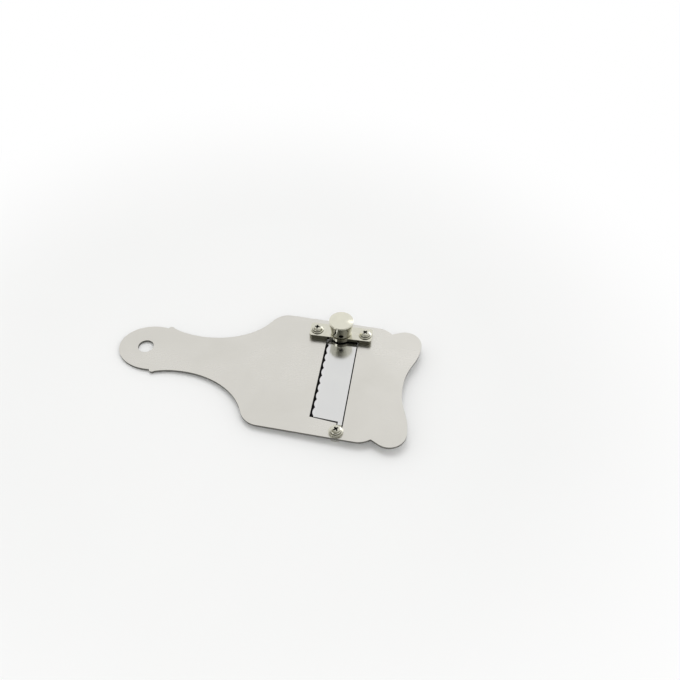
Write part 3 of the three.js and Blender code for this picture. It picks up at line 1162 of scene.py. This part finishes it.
class SLICER_OT_screws(Operator):
    """Turns flanged screws with a cross recess and sets them in their three places"""

    bl_idname = "slicer.screws"
    bl_label = "Screws"

    def execute(self, context):
        settings = context.scene.slicer_fittings
        left = self.screw(settings, "bridge_screw_left", LEFT_TURN)
        start = centre_of("bridge_screw_left")
        end = centre_of("bridge_screw_right")
        right = copy_to(left, "bridge_screw_right_turned", start, end, RIGHT_TURN)
        foot = self.screw(settings, "blade_screw", FOOT_TURN)
        self.dress(settings, left, "bridge_screw_left")
        self.dress(settings, right, "bridge_screw_right")
        self.dress(settings, foot, "blade_screw")
        return {"FINISHED"}

    def dress(self, settings, screw, node):
        """Puts a screw in its place, with painted shade in its recess, by its dome and under its flange.
        """
        settle(screw, node, "plate", nickel_plate(settings))
        middle = centre_of(node)
        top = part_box(node)[1].z
        seat = top - SCREW_HEIGHT
        reach = settings.recess_span / 2
        recess_floor = top - settings.recess_depth - 0.1 * MM
        dome_foot = SCREW_HEAD - 0.02 * MM

        def inside(point):
            away = math.hypot(point.x - middle.x, point.y - middle.y)
            recess_top = top - self.dome_drop(away) - 0.03 * MM
            in_recess = away < reach and recess_top > point.z > recess_floor
            in_corner = away > dome_foot and point.z > seat + SCREW_CORNER
            under_flange = away > SCREW_HEAD and point.z < seat + SCREW_RIM
            return in_recess or in_corner or under_flange

        # Painted shade on the faces that the test picks
        paint_shade_faces(screw, painted_shade_nickel(settings), inside)

    def dome_drop(self, away):
        """How far the head's dome lies under its top, at a distance from the axis."""
        return SCREW_BALL - math.sqrt(SCREW_BALL**2 - away**2)

    def screw(self, settings, node, angle):
        """Threaded stem, and a flanged, domed head with a cross recess."""
        low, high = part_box(node)
        seat = high.z - SCREW_HEIGHT
        tip = STEM_RADIUS - 0.6 * MM
        run_in = 0.25 * MM
        run_out = 0.3 * MM
        step = 0.1 * MM
        tilt = math.asin((SCREW_HEAD - SCREW_EDGE) / (SCREW_BALL - SCREW_EDGE))
        wall = high.z - SCREW_BALL + (SCREW_BALL - SCREW_EDGE) * math.cos(tilt)
        join = 90 - math.degrees(tilt)
        rings = [(tip, low.z)]
        rings += thread(STEM_RADIUS, low.z + run_in, seat - run_out, settings.thread_pitch)
        rings += [(STEM_RADIUS, seat), (SCREW_FLANGE - SCREW_RIM, seat), (SCREW_FLANGE, seat + SCREW_RIM)]
        rings += arc(SCREW_FLANGE - SCREW_RIM, seat + SCREW_RIM_HEIGHT, SCREW_RIM, 0, SCREW_RIM_END, 4)
        rings += [(SCREW_HEAD + step, seat + SCREW_CORNER), (SCREW_HEAD, seat + SCREW_CORNER + step)]
        rings += arc(SCREW_HEAD - SCREW_EDGE, wall, SCREW_EDGE, 0, join, 8)
        rings += arc(0, high.z - SCREW_BALL, SCREW_BALL, join, SCREW_BALL_END, 8)
        screw = turned(node + "_turned", centre_of(node), rings)
        self.cross_recess(settings, screw, node, angle)
        smooth(screw)
        return screw

    def cross_recess(self, settings, screw, node, angle):
        """Cuts two tapered wings across each other into the head."""
        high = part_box(node)[1]
        middle = centre_of(node)
        depth = settings.recess_depth
        for quarter in (0, math.pi / 2):
            deselect()
            bpy.ops.mesh.primitive_cube_add(size=1, location=(middle.x, middle.y, high.z))
            wing = bpy.context.object
            wing.scale = (settings.recess_span, settings.recess_width, 2 * depth)
            wing.rotation_euler = (0, 0, SKEW + angle + quarter)
            apply_place(wing)
            pick(wing, lambda point: point.z < high.z)
            bpy.ops.transform.resize(
                value=(RECESS_TAPER, RECESS_TAPER, 1),
                center_override=(middle.x, middle.y, high.z - depth),
            )
            cut(screw, wing)


class SLICER_OT_washers(Operator):
    """Turns the washer under the blade screw and the keeper under the blade"""

    bl_idname = "slicer.washers"
    bl_label = "Washers"

    def execute(self, context):
        settings = context.scene.slicer_fittings
        foot = self.washer("foot_washer", "blade_washer", FOOT_WASHER_HOLE)
        settle(foot, "blade_washer", "plate", nickel_plate(settings))
        keeper = self.washer("keeper_washer", "retaining_washer", KEEPER_HOLE)
        settle(keeper, "retaining_washer", "lift", plain_steel(settings))
        return {"FINISHED"}

    def washer(self, name, node, hole):
        """Flat ring with rounded outer edges and a chamfered hole."""
        low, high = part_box(node)
        reach = (high.x - low.x) / 2
        bend = WASHER_ROUND
        chamfer = 0.1 * MM
        rings = [(hole, low.z)]
        rings += arc(reach - bend, low.z + bend, bend, -90, 0, 4)
        rings += arc(reach - bend, high.z - bend, bend, 0, 90, 4)
        rings += [(hole + chamfer, high.z), (hole, high.z - chamfer)]
        washer = turned(name, centre_of(node), rings, closed=True)
        smooth(washer)
        return washer


class SLICER_OT_nuts(Operator):
    """Chamfers and bores the three hexagon nuts"""

    bl_idname = "slicer.nuts"
    bl_label = "Nuts"

    def execute(self, context):
        finish = plain_steel(context.scene.slicer_fittings)
        left = self.nut("bridge_nut_left")
        start = centre_of("bridge_nut_left")
        end = centre_of("bridge_nut_right")
        right = copy_to(left, "bridge_nut_right_chamfered", start, end)
        foot = self.nut("blade_nut")
        settle(left, "bridge_nut_left", "plate", finish)
        settle(right, "bridge_nut_right", "plate", finish)
        settle(foot, "blade_nut", "plate", finish)
        return {"FINISHED"}

    def nut(self, node):
        """Hexagon cut to rounded corners by two cones, with a countersunk hole."""
        low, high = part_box(node)
        middle = centre_of(node)
        corner = NUT_FLATS / math.sqrt(3)
        margin = 0.1 * MM
        deselect()
        bpy.ops.mesh.primitive_cylinder_add(
            vertices=6,
            radius=corner,
            depth=high.z - low.z,
            location=middle,
            rotation=(0, 0, NUT_TURN),
        )
        nut = bpy.context.object
        nut.name = node + "_chamfered"
        apply_place(nut)
        face = NUT_FACE * NUT_FLATS / 2
        hair = 0.01 * MM
        cones = [
            (face, low.z - hair),
            (corner + margin, low.z + NUT_CHAMFER),
            (corner + margin, high.z - NUT_CHAMFER),
            (face, high.z + hair),
        ]
        cut(nut, turned("cones", middle, cones), "INTERSECT")
        bore = [
            (NUT_HOLE + NUT_SINK, low.z - margin),
            (NUT_HOLE, low.z + NUT_CHAMFER),
            (NUT_HOLE, high.z - NUT_CHAMFER),
            (NUT_HOLE + NUT_SINK, high.z + margin),
        ]
        cut(nut, turned("bore", middle, bore))
        weld(nut)
        smooth(nut)
        return nut


# Stage


class SLICER_OT_stage(Operator):
    """Places the camera, the pale floor and the soft light"""

    bl_idname = "slicer.stage"
    bl_label = "Camera, floor and light"

    def execute(self, context):
        settings = context.scene.slicer_stage
        context.scene.view_settings.view_transform = "Standard"
        self.camera(context, settings)
        self.floor(settings)
        self.room(context, settings)
        self.lamps(settings)
        return {"FINISHED"}

    def camera(self, context, settings):
        """A camera on the near side, well above the plate."""
        deselect()
        bpy.ops.object.camera_add(location=settings.camera_place, rotation=settings.camera_turn)
        camera = context.object
        camera.data.lens = settings.lens
        camera.data.sensor_width = settings.sensor
        context.scene.camera = camera

    def floor(self, settings):
        """The handle's tip and two nuts stand on the floor, so it leans a little against the plate."""
        tip = Vector((PLATE_LOW.x + TIP_INSET, TIP_ASIDE, PLATE_LOW.z))
        left = self.handle_side("bridge_nut_left")
        foot = self.handle_side("blade_nut")
        normal = (foot - tip).cross(left - tip).normalized()
        deselect()
        bpy.ops.mesh.primitive_circle_add(
            vertices=FLOOR_STEPS,
            radius=FLOOR_RADIUS,
            fill_type="NGON",
            location=tip.lerp(left, 0.5).project(normal) - FLOOR_GAP * normal,
            rotation=normal.to_track_quat("Z", "Y").to_euler(),
        )
        floor = bpy.context.object
        floor.name = "floor"
        apply_place(floor)
        floor.data.materials.append(pale_table(settings))

    def handle_side(self, nut):
        """Point of a nut's foot that is nearest to the handle."""
        low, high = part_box(nut)
        return Vector((low.x, (low.y + high.y) / 2, low.z))

    def room(self, context, settings):
        """A room that metal mirrors, dim on its near side, and a white ground for the camera."""
        world = bpy.data.worlds.new("soft_room")
        context.scene.world = world
        world.use_nodes = True
        tree = world.node_tree
        tree.nodes.clear()
        way = add_node(tree, "ShaderNodeTexCoord").outputs["Generated"]
        rays = add_node(tree, "ShaderNodeLightPath").outputs
        sides = maths(tree, "MULTIPLY", self.high_sides(tree, way), rays["Is Glossy Ray"])
        low = ranged(tree, axes(tree, way)["Z"], LOW_START, LOW_END)
        low = maths(tree, "MULTIPLY", low, rays["Is Glossy Ray"])
        tone = self.room_tone(tree, way, settings)
        tone = mixed(tree, sides, tone, settings.room_side, "DARKEN")
        tone = mixed(tree, low, tone, settings.room_low, "LIGHTEN")
        light = add_node(tree, "ShaderNodeBackground", {"Color": tone, "Strength": 1.0})
        white = add_node(tree, "ShaderNodeBackground", {"Color": WHITE, "Strength": 1.0})
        shaders = {0: rays["Is Camera Ray"], 1: light.outputs[0], 2: white.outputs[0]}
        mix = add_node(tree, "ShaderNodeMixShader", shaders)
        add_node(tree, "ShaderNodeOutputWorld", {"Surface": mix.outputs[0]})

    def room_tone(self, tree, way, settings):
        """Tones from the bright far side to the dark middle of the near side."""
        near = add_node(
            tree,
            "ShaderNodeVectorMath",
            {0: way, 1: settings.near_side.normalized()},
            operation="DOT_PRODUCT",
        )
        tone = add_node(tree, "ShaderNodeValToRGB", {"Fac": near.outputs["Value"]})
        ramp = tone.color_ramp
        ramp.interpolation = "EASE"
        ramp.elements[0].position = BRIGHT_AT
        ramp.elements[0].color = settings.room_bright
        ramp.elements[1].position = ABOVE_AT
        ramp.elements[1].color = settings.room_above
        ramp.elements.new(DIM_AT).color = settings.room_dim
        ramp.elements.new(DARK_AT).color = settings.room_dark
        return tone.outputs["Color"]

    def high_sides(self, tree, way):
        """Marks what lies to the left and right, more aside than back, and well above the horizon."""
        split = axes(tree, way)
        back = maths(tree, "MULTIPLY", split["Y"], SIDE_LEAN)
        aside = maths(tree, "SUBTRACT", maths(tree, "ABSOLUTE", split["X"]), back)
        far = ranged(tree, aside, SIDE_START, SIDE_END)
        high = ranged(tree, split["Z"], SIDE_LOW, SIDE_HIGH)
        return maths(tree, "MULTIPLY", far, high)

    def lamps(self, settings):
        """Two lamps that light the floor but don't show in the metal, and three that gleam on it only."""
        for name, place in LAMP_PLACES.items():
            lamp = self.lamp(name + "_lamp", place, LAMP_WIDTHS[name], getattr(settings, name + "_power"))
            lamp.visible_glossy = name not in FLOOR_LAMPS
            lamp.visible_diffuse = name in FLOOR_LAMPS

    def lamp(self, name, place, width, power):
        """A round lamp that points at the middle of the part."""
        deselect()
        aim = (-Vector(place)).to_track_quat("-Z", "Y").to_euler()
        bpy.ops.object.light_add(type="AREA", location=place, rotation=aim)
        lamp = bpy.context.object
        lamp.name = name
        lamp.data.shape = "DISK"
        lamp.data.size = width
        lamp.data.energy = power
        return lamp


class SLICER_PT_sidebar(Panel):
    """Lists the slicer's pieces and settings"""

    bl_idname = "SLICER_PT_sidebar"
    bl_label = "Truffle slicer"
    bl_space_type = "VIEW_3D"
    bl_region_type = "UI"
    bl_category = "Slicer"

    def draw(self, context):
        """Shows a button for each operator and a field for each setting."""
        for operator in PIECE_OPERATORS:
            self.layout.operator(operator.bl_idname)
        for name in SETTINGS:
            group = getattr(context.scene, name)
            for prop in group.__annotations__:
                self.layout.prop(group, prop)


SETTINGS = {
    "slicer_plate": PlateSettings,
    "slicer_blade": BladeSettings,
    "slicer_fittings": FittingSettings,
    "slicer_stage": StageSettings,
}
PIECE_OPERATORS = (
    SLICER_OT_plate,
    SLICER_OT_blade,
    SLICER_OT_bridge,
    SLICER_OT_knob,
    SLICER_OT_screws,
    SLICER_OT_washers,
    SLICER_OT_nuts,
    SLICER_OT_stage,
)


def register():
    """Makes the settings, operators and panel known to Blender."""
    for settings in SETTINGS.values():
        bpy.utils.register_class(settings)
    for name, settings in SETTINGS.items():
        setattr(bpy.types.Scene, name, PointerProperty(type=settings))
    for operator in PIECE_OPERATORS:
        bpy.utils.register_class(operator)
    bpy.utils.register_class(SLICER_PT_sidebar)


def unregister():
    """Takes the panel, operators and settings out of Blender."""
    bpy.utils.unregister_class(SLICER_PT_sidebar)
    for operator in reversed(PIECE_OPERATORS):
        bpy.utils.unregister_class(operator)
    for name, settings in SETTINGS.items():
        delattr(bpy.types.Scene, name)
        bpy.utils.unregister_class(settings)


def main():
    """Makes the stage and the pieces in order."""
    register()
    bpy.ops.slicer.stage()
    bpy.ops.slicer.plate()
    bpy.ops.slicer.blade()
    bpy.ops.slicer.bridge()
    bpy.ops.slicer.knob()
    bpy.ops.slicer.screws()
    bpy.ops.slicer.washers()
    bpy.ops.slicer.nuts()


if __name__ == "__main__":
    main()
